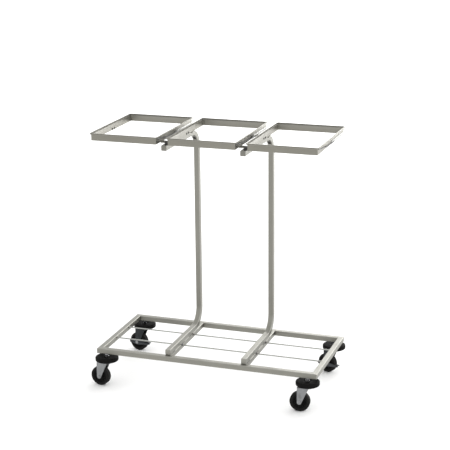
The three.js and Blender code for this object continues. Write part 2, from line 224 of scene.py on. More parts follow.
tubeSteelLook = dict(
    metallic=0.88, pale=(0.272, 0.268, 0.238, 1), dark=(0.212, 0.208, 0.184, 1), bare=(0.36, 0.355, 0.325, 1),
    rough=0.38, streak=16, across=1500, cloud=7, rub=22, edge=0.7, bump=0.10,
)
frameSteelLook = dict(
    tubeSteelLook, pale=(0.268, 0.259, 0.226, 1), dark=(0.205, 0.198, 0.171, 1), across=1900, rub=30,
    edge=0.35,
)
strapSteelLook = dict(tubeSteelLook, rough=0.42, across=1100, streak=60)
springSteelLook = dict(
    tubeSteelLook, pale=(0.30, 0.30, 0.285, 1), dark=(0.20, 0.20, 0.19, 1), rough=0.3, across=2600, streak=30,
    bump=0.06,
)
fingerSteelLook = dict(
    springSteelLook, metallic=0.3, pale=(0.035, 0.035, 0.034, 1), dark=(0.018, 0.018, 0.018, 1),
    bare=(0.08, 0.08, 0.078, 1), rough=0.5,
)
wireSteelLook = dict(
    tubeSteelLook, pale=(0.40, 0.41, 0.395, 1), dark=(0.28, 0.29, 0.275, 1), rough=0.26, across=2600,
)
weldLook = dict(straw=(0.13, 0.11, 0.085, 1), blue=(0.07, 0.075, 0.085, 1))
zincLook = dict(
    pale=(0.31, 0.315, 0.32, 1), dark=(0.18, 0.185, 0.19, 1), bare=(0.46, 0.46, 0.47, 1),
    grime=(0.06, 0.058, 0.055, 1), rough=0.34,
)
rearZincLook = dict(
    pale=(0.048, 0.053, 0.056, 1), dark=(0.022, 0.024, 0.026, 1), bare=(0.15, 0.155, 0.16, 1),
    grime=(0.012, 0.012, 0.012, 1), rough=0.46,
)
leverLook = dict(
    pale=(0.036, 0.041, 0.045, 1), dark=(0.017, 0.019, 0.022, 1), bare=(0.11, 0.115, 0.12, 1),
    grime=(0.012, 0.012, 0.012, 1), rough=0.5,
)
rivetLook = dict(
    pale=(0.02, 0.02, 0.02, 1), dark=(0.01, 0.01, 0.01, 1), bare=(0.07, 0.07, 0.07, 1),
    grime=(0.006, 0.006, 0.006, 1), rough=0.5,
)
bumperLook = dict(
    pale=(0.0085, 0.008, 0.0076, 1), dark=(0.0045, 0.0045, 0.0045, 1), dust=(0.045, 0.042, 0.038, 1),
    rubbed=(0.022, 0.021, 0.020, 1), dusty=0.1, edge=0.5, rough=0.6, grain=900, bump=0.12, gloss=0.04,
)
wheelLook = dict(bumperLook, pale=(0.011, 0.011, 0.011, 1), rough=0.55, dusty=0.2)
capLook = dict(
    bumperLook, pale=(0.215, 0.21, 0.185, 1), dark=(0.155, 0.151, 0.133, 1), rubbed=(0.28, 0.275, 0.25, 1),
    dust=(0.3, 0.3, 0.29, 1), rough=0.5, gloss=0.25,
)
footCapLook = dict(capLook, pale=(0.31, 0.305, 0.275, 1), dark=(0.24, 0.236, 0.21, 1))
tyreLook = dict(
    pale=(0.012, 0.0115, 0.011, 1), dark=(0.006, 0.006, 0.006, 1), dust=(0.06, 0.056, 0.052, 1), dusty=0.2,
    rubbed=(0.024, 0.023, 0.022, 1),
)
# near-black rubber for painted shade: the blocks beside the arm fronts and the patches on the bend hollows
shadeRubberLook = dict(tyreLook, pale=(0.06, 0.058, 0.055, 1), dark=(0.035, 0.034, 0.032, 1), dusty=0.1)
finishRows = {  # how it is made, the material's name, its look and its slot
    "tube": (brushedSteel, "tubeSteel", tubeSteelLook, "satin_steel"),
    "frame": (brushedSteel, "frameSteel", frameSteelLook, "satin_steel"),
    "strap": (brushedSteel, "strapSteel", strapSteelLook, "satin_steel"),
    "spring": (brushedSteel, "springSteel", springSteelLook, "spring_steel"),
    "finger": (brushedSteel, "fingerSteel", fingerSteelLook, "spring_steel"),
    "wire": (brushedSteel, "wireSteel", wireSteelLook, "bright_wire"),
    "weld": (heatedWeld, "heatedWeld", weldLook, "satin_steel"),
    "zinc": (platedZinc, "platedZinc", zincLook, "zinc_steel"),
    "rearZinc": (platedZinc, "darkZinc", rearZincLook, "zinc_steel"),
    "lever": (platedZinc, "leverZinc", leverLook, "zinc_steel"),
    "rivet": (platedZinc, "blackRivet", rivetLook, "zinc_steel"),
    "bumper": (mouldedPlastic, "bumperPlastic", bumperLook, "black_plastic"),
    "wheel": (mouldedPlastic, "wheelPlastic", wheelLook, "black_plastic"),
    "cap": (mouldedPlastic, "capPlastic", capLook, "grey_plastic"),
    "footCap": (mouldedPlastic, "footCapPlastic", footCapLook, "grey_plastic"),
    "tyre": (treadRubber, "tyreRubber", tyreLook, "black_rubber"),
    # the near-black rubber of the painted shade blocks and bend patches
    "shadeStandIn": (treadRubber, "stopRubber", shadeRubberLook, "black_rubber"),
}
finishes, slots = {}, {}
for key, (make, name, look, slot) in finishRows.items():
    finishes[key] = make(name, look)
    slots[key] = slot
print("finishes made:", len(finishes))


# shapes, in millimetres

xWay, yWay, zWay = Vector((1, 0, 0)), Vector((0, 1, 0)), Vector((0, 0, 1))


# (x, y, radius) corners to an outline, with a point held close to each arc
def softened(corners, steps=4, hold=0.7):
    outline = []
    for i, (x, y, radius) in enumerate(corners):
        here = Vector((x, y))
        before = (Vector(corners[i - 1][:2]) - here).normalized()
        after = (Vector(corners[(i + 1) % len(corners)][:2]) - here).normalized()
        if radius == 0:
            outline.append(here)
            continue
        half = before.angle(after) / 2
        reach = radius / math.tan(half)
        centre = here + (before + after).normalized() * radius / math.sin(half)
        arm = here + before * reach - centre
        turn = math.pi - 2 * half
        if arm.x * after.y - arm.y * after.x < 0:
            turn = -turn
        outline.append(here + before * (reach + hold))
        for k in range(steps + 1):
            c, s = math.cos(turn * k / steps), math.sin(turn * k / steps)
            outline.append(centre + Vector((arm.x * c - arm.y * s, arm.x * s + arm.y * c)))
        outline.append(here + after * (reach + hold))
    return outline


def rectangle(left, near, right, far, radius, farRadius=None, steps=4, hold=0.7):
    farRadius = radius if farRadius is None else farRadius
    corners = [(left, near, radius), (right, near, radius), (right, far, farRadius), (left, far, farRadius)]
    return softened(corners, steps, hold)


def centred(width, depth, radius):  # a rectangle about the origin
    return rectangle(-width / 2, -depth / 2, width / 2, depth / 2, radius)


def circle(radius, count):
    angles = (2 * math.pi * k / count for k in range(count))
    return [Vector((radius * math.cos(a), radius * math.sin(a))) for a in angles]


def inset(outline, depth):  # moves each point of an anticlockwise outline in by depth
    moved = []
    for i, here in enumerate(outline):
        a = (here - outline[i - 1]).normalized()
        b = (outline[(i + 1) % len(outline)] - here).normalized()
        inward = Vector((-a.y - b.y, a.x + b.x)).normalized()
        moved.append(here + inward * depth / max(0.5, inward.dot(Vector((-a.y, a.x)))))
    return moved


def skin(rings, around=False):  # rings of points to a closed surface, with UVs in metres along and about it
    bm = bmesh.new()
    layer = bm.loops.layers.uv.new("UVMap")
    grid = [[bm.verts.new(Vector(point) * mm) for point in ring] for ring in rings]
    count, points = len(grid), len(grid[0])
    along, about = [0.0], [0.0]
    for i in range(count):
        along.append(along[-1] + (grid[(i + 1) % count][0].co - grid[i][0].co).length)
    for k in range(points):
        about.append(about[-1] + (grid[0][(k + 1) % points].co - grid[0][k].co).length)
    for i in range(count if around else count - 1):
        for k in range(points):
            corners = ((i, k), (i, k + 1), (i + 1, k + 1), (i + 1, k))
            face = bm.faces.new([grid[a % count][b % points] for a, b in corners])
            for loop, (a, b) in zip(face.loops, corners):
                loop[layer].uv = (along[a], about[b])
    if not around:
        bm.faces.new(grid[0][::-1])
        bm.faces.new(grid[-1])
    bmesh.ops.remove_doubles(bm, verts=bm.verts, dist=1e-7)
    bmesh.ops.dissolve_degenerate(bm, dist=1e-7, edges=bm.edges)
    return bm


def placed(outline, origin, side, up):
    return [origin + side * point.x + up * point.y for point in outline]


def turned(profile, count, axis="z"):  # a closed profile of (radius, height) turned about an axis
    rings = []
    for k in range(count):
        c, s = math.cos(2 * math.pi * k / count), math.sin(2 * math.pi * k / count)
        if axis == "z":
            rings.append([(r * c, r * s, h) for r, h in profile])
        elif axis == "y":
            rings.append([(r * s, h, r * c) for r, h in profile])
        else:
            rings.append([(h, r * c, r * s) for r, h in profile])
    return skin(rings, around=True)


def slab(outline, low, high, edge, side=xWay, up=yWay, origin=Vector()):  # a plate with eased edges
    out = side.cross(up)
    rim, part = edge + 0.8, edge * 0.3
    layers = (
        (rim, low), (edge, low), (part, low + part), (0, low + edge),
        (0, high - edge), (part, high - part), (edge, high), (rim, high),
    )
    return skin([placed(inset(outline, deep), origin + out * height, side, up) for deep, height in layers])


weldBead = dict(pitch=2.2, rows=4, fewest=6, sides=8, tip=0.35, taper=6, ripple=0.10, uneven=0.04)


def bead(start, end, radius):  # weld bead laid in overlapping ripples
    start, end = Vector(start), Vector(end)
    way = (end - start).normalized()
    side = way.orthogonal().normalized()
    up = way.cross(side)
    count = max(weldBead["fewest"], int((end - start).length / weldBead["pitch"] * weldBead["rows"]))
    rings = []
    for i in range(count + 1):
        t = i / count
        taper = min(1, weldBead["tip"] + weldBead["taper"] * min(t, 1 - t))
        ripple = weldBead["ripple"] * math.sin(math.pi * i / 2)
        size = radius * taper * (1 + ripple + random.uniform(-weldBead["uneven"], weldBead["uneven"]))
        rings.append(placed(circle(size, weldBead["sides"]), start.lerp(end, t), side, up))
    return skin(rings)


def shifted(shape, offset):
    bmesh.ops.translate(shape, vec=Vector(offset) * mm, verts=shape.verts)
    return shape


def joined(*shapes):
    whole = shapes[0]
    for shape in shapes[1:]:
        spare = bpy.data.meshes.new("spare")
        shape.to_mesh(spare)
        shape.free()
        whole.from_mesh(spare)
        bpy.data.meshes.remove(spare)
    return whole


wear = dict(start=0.2, span=0.3)
sharpAngle = math.radians(35)


def markWear(bm):  # a value per point, high along outward edges
    layer = bm.verts.layers.float.new("worn")
    for vert in bm.verts:
        sharpest = max((edge.calc_face_angle_signed(0) for edge in vert.link_edges), default=0)
        vert[layer] = min(1, max(0, (sharpest - wear["start"]) / wear["span"]))


def piece(name, bm, finish, body="base", stands=(), place=middle):
    bmesh.ops.recalc_face_normals(bm, faces=bm.faces)
    bmesh.ops.transform(bm, matrix=place, verts=bm.verts)
    markWear(bm)
    mesh = bpy.data.meshes.new(name)
    bm.to_mesh(mesh)
    bm.free()
    mesh.shade_smooth()
    mesh.set_sharp_from_angle(angle=sharpAngle)
    mesh.materials.append(finishes[finish])
    obj = bpy.data.objects.new(name, mesh)
    scene.collection.objects.link(obj)
    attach(obj, body)
    if stands:
        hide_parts(*stands)
    return obj


# square tubes

tube = dict(size=20, wall=1.5, corner=2.2, boreCorner=0.9, hold=2, crossGap=0.2)
base = dict(width=860, depth=400, top=150)
uprights = dict(
    x=148.5, y=165, bend=70, bendSteps=16, rows=range(300, 860, 80),
    footFront=-181, footZ=160.3, armFront=-176, armZ=938,
)
railZ = base["top"] - tube["size"] / 2
ends = {"front": -1, "rear": 1}
sides = {"left": -1, "right": 1}


# stations are (origin, side, up), the first and last repeated close by to hold the ends
def squareTube(stations):
    bore = tube["size"] - 2 * tube["wall"]
    outer = centred(tube["size"], tube["size"], tube["corner"])
    inner = centred(bore, bore, tube["boreCorner"])
    near = stations[0][0].lerp(stations[1][0], tube["hold"] / (stations[1][0] - stations[0][0]).length)
    far = stations[-1][0].lerp(stations[-2][0], tube["hold"] / (stations[-2][0] - stations[-1][0]).length)
    held = [stations[0], (near, *stations[0][1:]), *stations[1:-1], (far, *stations[-1][1:]), stations[-1]]
    outside = [placed(outer, *station) for station in held]
    inside = [placed(inner, *station) for station in reversed(held)]
    return skin(outside + inside, around=True)


for end, sign in ends.items():
    y = sign * (base["depth"] - tube["size"]) / 2
    stations = []
    for side in (-1, 1):
        x = side * (base["width"] - tube["size"]) / 2
        stations.append((Vector((x, y, railZ)), Vector((side * sign, 1, 0)), zWay))
    piece(f"baseRail.{end}", squareTube(stations), "tube", stands=[f"base_rail_{end}"])

for side, sign in sides.items():
    x = sign * (base["width"] - tube["size"]) / 2
    stations = []
    for end in (-1, 1):
        y = end * (base["depth"] - tube["size"]) / 2
        stations.append((Vector((x, y, railZ)), Vector((1, end * sign, 0)), zWay))
    piece(f"baseRail.{side}", squareTube(stations), "tube", stands=[f"base_rail_{side}"])
    reach = base["depth"] / 2 - tube["size"] - tube["crossGap"]
    x = sign * uprights["x"]
    stations = [(Vector((x, y, railZ)), xWay, zWay) for y in (-reach, 0, reach)]
    piece(f"crossTube.{side}", squareTube(stations), "tube", stands=[f"base_cross_{side}"])


def cTubeStations(x):
    bend, steps = uprights["bend"], uprights["bendSteps"]
    centreY = uprights["y"] - bend
    stations = [(Vector((x, uprights["footFront"], uprights["footZ"])), xWay, zWay)]
    for centreZ, start in ((uprights["footZ"] + bend, 0), (uprights["armZ"] - bend, math.pi / 2)):
        for k in range(steps + 1):
            a = start + math.pi / 2 * k / steps
            origin = Vector((x, centreY + bend * math.sin(a), centreZ - bend * math.cos(a)))
            stations.append((origin, xWay, Vector((0, -math.sin(a), math.cos(a)))))
        if start == 0:
            for z in uprights["rows"]:
                stations.append((Vector((x, uprights["y"], z)), xWay, Vector((0, -1, 0))))
    stations.append((Vector((x, uprights["armFront"], uprights["armZ"])), xWay, Vector((0, 0, -1))))
    return stations


# the oval patch on each top bend's hollow is painted shade: near-black rubber laid where the bend's hollow
# falls in shade
shadePatch = dict(width=13, length=21, rise=1.6, sink=0.4, angle=math.radians(135), rows=7, sides=24, closing=0.97)


def bendShadePatch(x):  # a near-black oval patch of painted shade on the hollow of the top bend, raised like a plug
    rings = []
    bend = uprights["bend"]
    centreY, centreZ = uprights["y"] - bend, uprights["armZ"] - bend
    inner = bend - tube["size"] / 2
    for k in range(shadePatch["rows"] + 1):
        t = k / shadePatch["rows"]
        share = math.cos(math.pi / 2 * t * shadePatch["closing"])
        reach = inner + shadePatch["sink"] - shadePatch["rise"] * (1 - (1 - t) ** 2)
        ring = []
        for i in range(shadePatch["sides"]):
            around = 2 * math.pi * i / shadePatch["sides"]
            a = shadePatch["angle"] + math.sin(around) * share * shadePatch["length"] / 2 / inner
            out = math.cos(around) * share * shadePatch["width"] / 2
            ring.append((x + out, centreY + reach * math.sin(a), centreZ - reach * math.cos(a)))
        rings.append(ring)
    return skin(rings)


for side, sign in sides.items():
    x = sign * uprights["x"]
    piece(f"cTube.{side}", squareTube(cTubeStations(x)), "tube", stands=[f"upright_{side}"])
    # a near-black patch of painted shade on the hollow of each top bend
    piece(f"bendShadePatch.{side}", bendShadePatch(x), "shadeStandIn")
print("tubes made")


# end caps: a core in the tube, a flat rim and a slightly domed face

cap = dict(
    core=16.2, coreCorner=1.2, coreDepth=12, rim=20, rimCorner=2.4,
    layers=((0, 0.1), (0, 1.7), (0.3, 2.4), (1.0, 2.9), (2.0, 3.1), (5, 3.3), (8, 3.35)),
)


def endCap(x, y, z):
    rim = centred(cap["rim"], cap["rim"], cap["rimCorner"])
    core = centred(cap["core"], cap["core"], cap["coreCorner"])
    rings = [placed(core, Vector((x, y + deep, z)), xWay, zWay) for deep in (cap["coreDepth"], 0)]
    for deep, out in cap["layers"]:
        grow = 1 - 2 * deep / cap["rim"]
        rings.append(placed([point * grow for point in rim], Vector((x, y - out, z)), xWay, zWay))
    return skin(rings)


for side, sign in sides.items():
    x = sign * uprights["x"]
    foot = endCap(x, uprights["footFront"], uprights["footZ"])
    piece(f"footCap.{side}", foot, "footCap", stands=[f"foot_cap_{side}"])
    arm = endCap(x, uprights["armFront"], uprights["armZ"])
    piece(f"armCap.{side}", arm, "cap", stands=[f"arm_cap_{side}"])


# lengthwise wires, with their welds

shelfWire = dict(z=145, spacing=119, radius=2.5, sides=20, gap=0.1, hold=2)
wireWeld = dict(
    sides=20, collar=((2.4, -1), (4.6, -1), (4.4, 0.8), (3.5, 2.1), (2.4, 2.6)),
    sleeve=((2.4, -1), (5.2, -1), (5.2, 12), (4.8, 13.6), (3.6, 14.4), (2.4, 14.6)),
    beadRadius=1.5, beadHalf=3, beadLift=1.6, beadSink=0.2,
)


def wireRod(y):
    reach = base["width"] / 2 - tube["size"] - shelfWire["gap"]
    held = reach - shelfWire["hold"]
    xs = [-reach, -held, -0.6 * reach, -0.2 * reach, 0.2 * reach, 0.6 * reach, held, reach]
    section = circle(shelfWire["radius"], shelfWire["sides"])
    return skin([placed(section, Vector((x, y, shelfWire["z"])), yWay, zWay) for x in xs])


wireWelds = []
for end, sign in ends.items():
    y = sign * shelfWire["spacing"] / 2
    piece(f"shelfWire.{end}", wireRod(y), "wire", stands=[f"shelf_wire_{end}"])
    for x in (-uprights["x"], uprights["x"]):
        for face in (-1, 1):
            near = x + face * tube["size"] / 2
            longer = end == "front" and face < 0  # a sleeve where the front wire goes into a cross tube
            profile = [(r, face * h) for r, h in wireWeld["sleeve" if longer else "collar"]]
            wireWelds.append(shifted(turned(profile, wireWeld["sides"], "x"), (near, y, shelfWire["z"])))
    for face in (-1, 1):
        x = face * (base["width"] / 2 - tube["size"]) - face * wireWeld["beadSink"]
        for lift in (-1, 1):
            z = shelfWire["z"] + lift * wireWeld["beadLift"]
            start, stopAt = (x, y - wireWeld["beadHalf"], z), (x, y + wireWeld["beadHalf"], z)
            wireWelds.append(bead(start, stopAt, wireWeld["beadRadius"]))
piece("wireWelds", joined(*wireWelds), "weld")


# welds of the base and of the feet

railSeam = dict(low=131.5, high=148.5, radius=1.5, sink=0.3)
crossSeam = dict(low=131.8, high=148.2, radius=1.3, sink=0.2)
footSeam = dict(z=150.1, radius=1.4, inset=0.9, starts=(-176, -74, 20), length=46)


def uprightSeam(x, y, seam):
    return bead((x, y, seam["low"]), (x, y, seam["high"]), seam["radius"])


seams = []
innerX, innerY = base["width"] / 2 - tube["size"], base["depth"] / 2 - tube["size"]
for sx in (-1, 1):
    for sy in (-1, 1):
        x, y = sx * (innerX - railSeam["sink"]), sy * (innerY - railSeam["sink"])
        seams.append(uprightSeam(x, y, railSeam))
for side in (-1, 1):
    x = side * uprights["x"]
    for sy in (-1, 1):
        for face in (-1, 1):
            near = x + face * tube["size"] / 2
            seams.append(uprightSeam(near, sy * (innerY - crossSeam["sink"]), crossSeam))
    for face in (-1, 1):
        near = x + face * (tube["size"] / 2 - footSeam["inset"])
        for start in footSeam["starts"]:
            far = start + footSeam["length"]
            seams.append(bead((near, start, footSeam["z"]), (near, far, footSeam["z"]), footSeam["radius"]))
piece("baseWelds", joined(*seams), "weld")


# straps on the arms, and near-black rubber blocks of painted shade beside the arm fronts

strap = dict(width=54, depth=24, low=948.2, high=952.8, corner=3, edge=0.6, ys=dict(front=-130, rear=60))
# the block beside each arm's front is painted shade: near-black rubber standing where the strap and the arm's
# side fall in shade
shadeStandIn = dict(width=20, depth=18, low=948.3, high=959, corner=2.5, edge=1.6, y=-166, out=21.7)
strapWeld = dict(half=7, lift=0.2, radius=1.1)


def armPlate(sizes, x, y):
    outline = centred(sizes["width"], sizes["depth"], sizes["corner"])
    return slab(outline, sizes["low"], sizes["high"], sizes["edge"], origin=Vector((x, y, 0)))


for side, sign in sides.items():
    x = sign * uprights["x"]
    for end, y in strap["ys"].items():
        plate = armPlate(strap, x, y)
        piece(f"frameStrap.{side}.{end}", plate, "strap", stands=[f"frame_strap_{side}_{end}"])
    # a near-black block of painted shade beside the arm's front
    block = armPlate(shadeStandIn, x + shadeStandIn["out"] - shadeStandIn["width"] / 2, shadeStandIn["y"])
    piece(f"armShadeBlock.{side}", block, "shadeStandIn", stands=[f"arm_stop_{side}"])

strapWelds = []
for side in (-1, 1):
    for y in strap["ys"].values():
        for face in (-1, 1):
            edgeY = y + face * strap["depth"] / 2
            x, z = side * uprights["x"], strap["low"] + strapWeld["lift"]
            start, stopAt = (x - strapWeld["half"], edgeY, z), (x + strapWeld["half"], edgeY, z)
            strapWelds.append(bead(start, stopAt, strapWeld["radius"]))
piece("strapWelds", joined(*strapWelds), "weld")
print("caps, wires, welds and straps made")


# bag frames: a folded band swept round a rectangle

bagFrame = dict(
    width=253, depth=372, y=-10, pitch=297, low=953, top=980, plate=2.5, lip=5, corner=3, cornerSteps=6,
)
fold = bagFrame["top"] - bagFrame["plate"]
band = softened([
    (-bagFrame["plate"], bagFrame["low"], 1.0), (0, bagFrame["low"], 1.0), (0, fold, 1.6),
    (bagFrame["lip"], fold, 1.1), (bagFrame["lip"], bagFrame["top"], 1.1),
    (-bagFrame["plate"], bagFrame["top"], 3.6),
], steps=5, hold=0.6)
places = {"left": -1, "middle": 0, "right": 1}


def bandRing(x):
    r = bagFrame["corner"]
    w, d = bagFrame["width"] / 2 - r, bagFrame["depth"] / 2 - r
    rings = []
    for k, (cx, cy) in enumerate(((w, d), (-w, d), (-w, -d), (w, -d))):
        for step in range(bagFrame["cornerSteps"] + 1):
            a = math.pi / 2 * (k + step / bagFrame["cornerSteps"])
            c, s = math.cos(a), math.sin(a)
            rings.append([(x + cx + (r + n) * c, bagFrame["y"] + cy + (r + n) * s, z) for n, z in band])
    return skin(rings, around=True)


for place, column in places.items():
    piece(f"bagFrame.{place}", bandRing(column * bagFrame["pitch"]), "frame", stands=[f"bag_frame_{place}"])


# bag clips: a spring leaf with a pressed rib, a wire finger, two rivets

leaf = dict(
    low=954, height=11, plate=1.2, gap=0.3, rib=0.45, ribFront=-9, ribRear=165, ribFoot=0.45, ribTop=0.2,
    rows=(  # y and the share of the height there
        (-14, 0.35), (-13.2, 0.62), (-11.5, 0.85), (-9, 1), (20, 1), (60, 1), (110, 1), (150, 1), (165, 1),
        (168, 0.86), (169.4, 0.6), (170, 0.35),
    ),
)
finger = dict(
    radius=1.5, front=-190, rear=24, tipDrop=6, baseDrop=22, curve=2.4, steps=40, sink=0.4, sides=12,
    endShrink=0.55, endLength=0.9,
)
rivet = dict(
    ys=(-8, 12), z=957.6, radius=4.4, height=1.6, sides=24, inside=1, outside=0.7,
    dome=((1, 0), (1, 0.35), (0.85, 0.9), (0.5, 1.3)),
)


def clipLeaf(faceX, sign):
    rings = []
    mid = leaf["low"] + leaf["height"] / 2
    near, far = leaf["gap"], leaf["gap"] + leaf["plate"]
    for y, share in leaf["rows"]:
        half = leaf["height"] / 2 * share
        foot, crest = half * leaf["ribFoot"], half * leaf["ribTop"]
        rib = far + (leaf["rib"] if leaf["ribFront"] < y < leaf["ribRear"] else 0)
        outline = [
            (near, -half), (far, -half), (far, -foot), (rib, -crest), (rib, crest), (far, foot), (far, half),
            (near, half),
        ]
        rings.append([(faceX + sign * n, y, mid + z) for n, z in outline])
    return skin(rings)


def fingerEnd(ring, point, inward):
    nudge = (point - inward).normalized() * finger["endLength"]
    return [point + (corner - point) * finger["endShrink"] + nudge for corner in ring]


def clipFinger(faceX, sign):
    x = faceX + sign * (leaf["gap"] + leaf["plate"] + finger["radius"] - finger["sink"])
    length, fall = finger["rear"] - finger["front"], finger["baseDrop"] - finger["tipDrop"]
    points = []
    for i in range(finger["steps"] + 1):
        t = i / finger["steps"]
        drop = finger["baseDrop"] - fall * (1 - t) ** finger["curve"]
        points.append(Vector((x, finger["front"] + length * t, bagFrame["top"] - drop)))
    rings = []
    for i, point in enumerate(points):
        way = (points[min(i + 1, len(points) - 1)] - points[max(i - 1, 0)]).normalized()
        up = way.cross(xWay).normalized()
        rings.append(placed(circle(finger["radius"], finger["sides"]), point, xWay, up))
    first = fingerEnd(rings[0], points[0], points[1])
    last = fingerEnd(rings[-1], points[-1], points[-2])
    return skin([first, *rings, last])


def rivetHeads(faceX, sign):
    heads = []
    dome = [(rivet["radius"] * share, height) for share, height in rivet["dome"]]
    dome = [(0, 0), *dome, (0, rivet["height"])]
    outside = leaf["gap"] + leaf["plate"]
    for y in rivet["ys"]:
        for start, way, size in ((-bagFrame["plate"], -1, rivet["inside"]), (outside, 1, rivet["outside"])):
            profile = [(r * size, sign * (start + way * h * size)) for r, h in dome]
            heads.append(shifted(turned(profile, rivet["sides"], "x"), (faceX, y, rivet["z"])))
    return joined(*heads)


for place, column in places.items():
    for side, sign in sides.items():
        faceX = column * bagFrame["pitch"] + sign * bagFrame["width"] / 2
        clipNode = f"bag_clip_{place}_frame_{side}"
        piece(f"bagClip.{place}.{side}", clipLeaf(faceX, sign), "spring", stands=[clipNode])
        piece(f"clipFinger.{place}.{side}", clipFinger(faceX, sign), "finger")
        piece(f"clipRivets.{place}.{side}", rivetHeads(faceX, sign), "rivet")
print("bag frames and clips made")


# castors, each built with its trail along +X and its stem at the origin, then turned into place

wheel = dict(radius=37.5, width=25, trail=28, axleZ=37.513)
castorSides = dict(tyre=64, hub=48, disc=72, stem=28, collar=32, raceway=40)


def onAxle(shape):
    return shifted(shape, (wheel["trail"], 0, wheel["axleZ"]))


tyreHalf = wheel["width"] / 2
tyreProfile = softened([
    (28.3, -11.4, 0.6), (33.8, -tyreHalf, 1.6), (wheel["radius"], -9.2, 4.2), (wheel["radius"], 9.2, 4.2),
    (33.8, tyreHalf, 1.6), (28.3, 11.4, 0.6),
], steps=5)


def tyreShape():
    return onAxle(turned([tuple(point) for point in tyreProfile], castorSides["tyre"], "y"))


spokes = dict(count=8, width=1.8, inner=9.5, outer=23.6, deep=10.4, turn=0.2, soft=0.5)
hubProfile = softened([
    (4.3, -14.5, 0.5), (8.8, -14.5, 0.9), (10.2, -7, 1.2), (22.8, -7, 1.2), (24.2, -11.2, 0.8),
    (28.1, -11.2, 0.4), (28.1, 11.2, 0.4), (24.2, 11.2, 0.8), (22.8, 7, 1.2), (10.2, 7, 1.2),
    (8.8, 14.5, 0.9), (4.3, 14.5, 0.5),
], steps=3, hold=0.4)


def hubShape():
    parts = [turned(hubProfile, castorSides["hub"], "y")]
    half, soft, deep = spokes["width"] / 2, spokes["soft"], spokes["deep"]
    outline = rectangle(spokes["inner"], -half, spokes["outer"], half, soft, steps=2, hold=0.2)
    for k in range(spokes["count"]):
        a = 2 * math.pi * k / spokes["count"] + spokes["turn"]
        way = Vector((math.cos(a), 0, math.sin(a)))
        across = Vector((-math.sin(a), 0, math.cos(a)))
        parts.append(slab(outline, -deep, deep, soft, side=way, up=across))
    return onAxle(joined(*parts))


bumperProfile = softened([
    (5.3, 99.8, 0), (33, 99.8, 4), (43.9, 104.6, 3.2), (43.9, 116.6, 3.4), (39, 119, 4), (15, 118.4, 1.5),
    (12.5, 116.6, 1), (5.3, 116.6, 0),
], steps=5)
fork = dict(
    plate=2.5, middle=16.45, top=94.75, bend=4, toe=8.5, legFront=-7, plateFront=-18, legTop=96,
    tangent=(20.2, 34.1), toeRows=(-8.4, -7.9, -7.0, -5.6, -3.6, -1.2, 2, 6), legRows=10, bendRows=6,
    topRows=8, columns=12, eased=0.5, easedAngle=50,
)
forkRib = dict(low=50, high=90, rise=1.3, steep=1.6, front=0.22, share=0.56, curve=1.5)


def forkRows():  # (y, z, share) across the fork, the share being 0 on a leg and 1 on the top plate
    half, top, bend = fork["middle"], fork["top"], fork["bend"]
    z0, upper = wheel["axleZ"], fork["toeRows"][-1]
    legs = [z0 + d for d in fork["toeRows"]]
    climb = top - bend - z0 - upper
    legs += [z0 + upper + climb * k / fork["legRows"] for k in range(1, fork["legRows"] + 1)]
    bends = []
    for k in range(1, fork["bendRows"]):
        a = math.pi / 2 * k / fork["bendRows"]
        bends.append((half - bend * (1 - math.cos(a)), top - bend + bend * math.sin(a), k / fork["bendRows"]))
    rows = [(-half, z, 0.0) for z in legs]
    rows += [(-y, z, share) for y, z, share in bends]
    for k in range(fork["topRows"] + 1):
        rows.append((-half + bend + (2 * half - 2 * bend) * k / fork["topRows"], top, 1.0))
    rows += reversed(bends)
    rows += [(half, z, 0.0) for z in reversed(legs)]
    return rows


def ribHeight(z, t):  # the rib pressed out of each leg
    rise = math.sin(math.pi * (z - forkRib["low"]) / (forkRib["high"] - forkRib["low"]))
    across = min(1, max(0, (t - forkRib["front"]) / forkRib["share"]))
    width = max(0, math.sin(math.pi * across)) ** forkRib["curve"]
    return forkRib["rise"] * min(1, forkRib["steep"] * rise) * width


def forkShape():
    bm = bmesh.new()
    tangentX, tangentZ = fork["tangent"]
    grid = []
    for y, z, share in forkRows():
        dz = z - wheel["axleZ"]
        toe = math.sqrt(max(0.0, fork["toe"] ** 2 - dz ** 2)) if dz < 0 else fork["toe"]
        rear = wheel["trail"] + toe
        if z < tangentZ:
            front = wheel["trail"] - toe
        else:
            climb = (z - tangentZ) / (fork["legTop"] - tangentZ)
            front = tangentX + (fork["legFront"] - tangentX) * climb
        ease = share * share * (3 - 2 * share)
        front += (fork["plateFront"] - fork["legFront"]) * ease
        ribbed = share == 0 and forkRib["low"] < z < forkRib["high"]
        row = []
        for c in range(fork["columns"] + 1):
            t = c / fork["columns"]
            x = front + (rear - front) * t
            rib = ribHeight(z, t) if ribbed else 0.0
            row.append(bm.verts.new(Vector((x, y + math.copysign(rib, y), z)) * mm))
        grid.append(row)
    for i in range(len(grid) - 1):
        for c in range(fork["columns"]):
            bm.faces.new((grid[i][c], grid[i][c + 1], grid[i + 1][c + 1], grid[i + 1][c]))
    return bm


def thickened(legs):
    solid = legs.modifiers.new("thickness", "SOLIDIFY")
    solid.thickness = fork["plate"] * mm
    solid.offset = 0
    eased = legs.modifiers.new("eased", "BEVEL")
    eased.width = fork["eased"] * mm
    eased.segments = 2
    eased.limit_method = "ANGLE"
    eased.angle_limit = math.radians(fork["easedAngle"])


bolt = dict(
    radius=4, sides=24, head=5.8, headEase=0.6, headHeight=3.3, outer=17.7, gap=0.3,
    washer=6.5, washerTop=6.2, washerSide=0.7, washerHeight=0.9, washerSides=32,
)


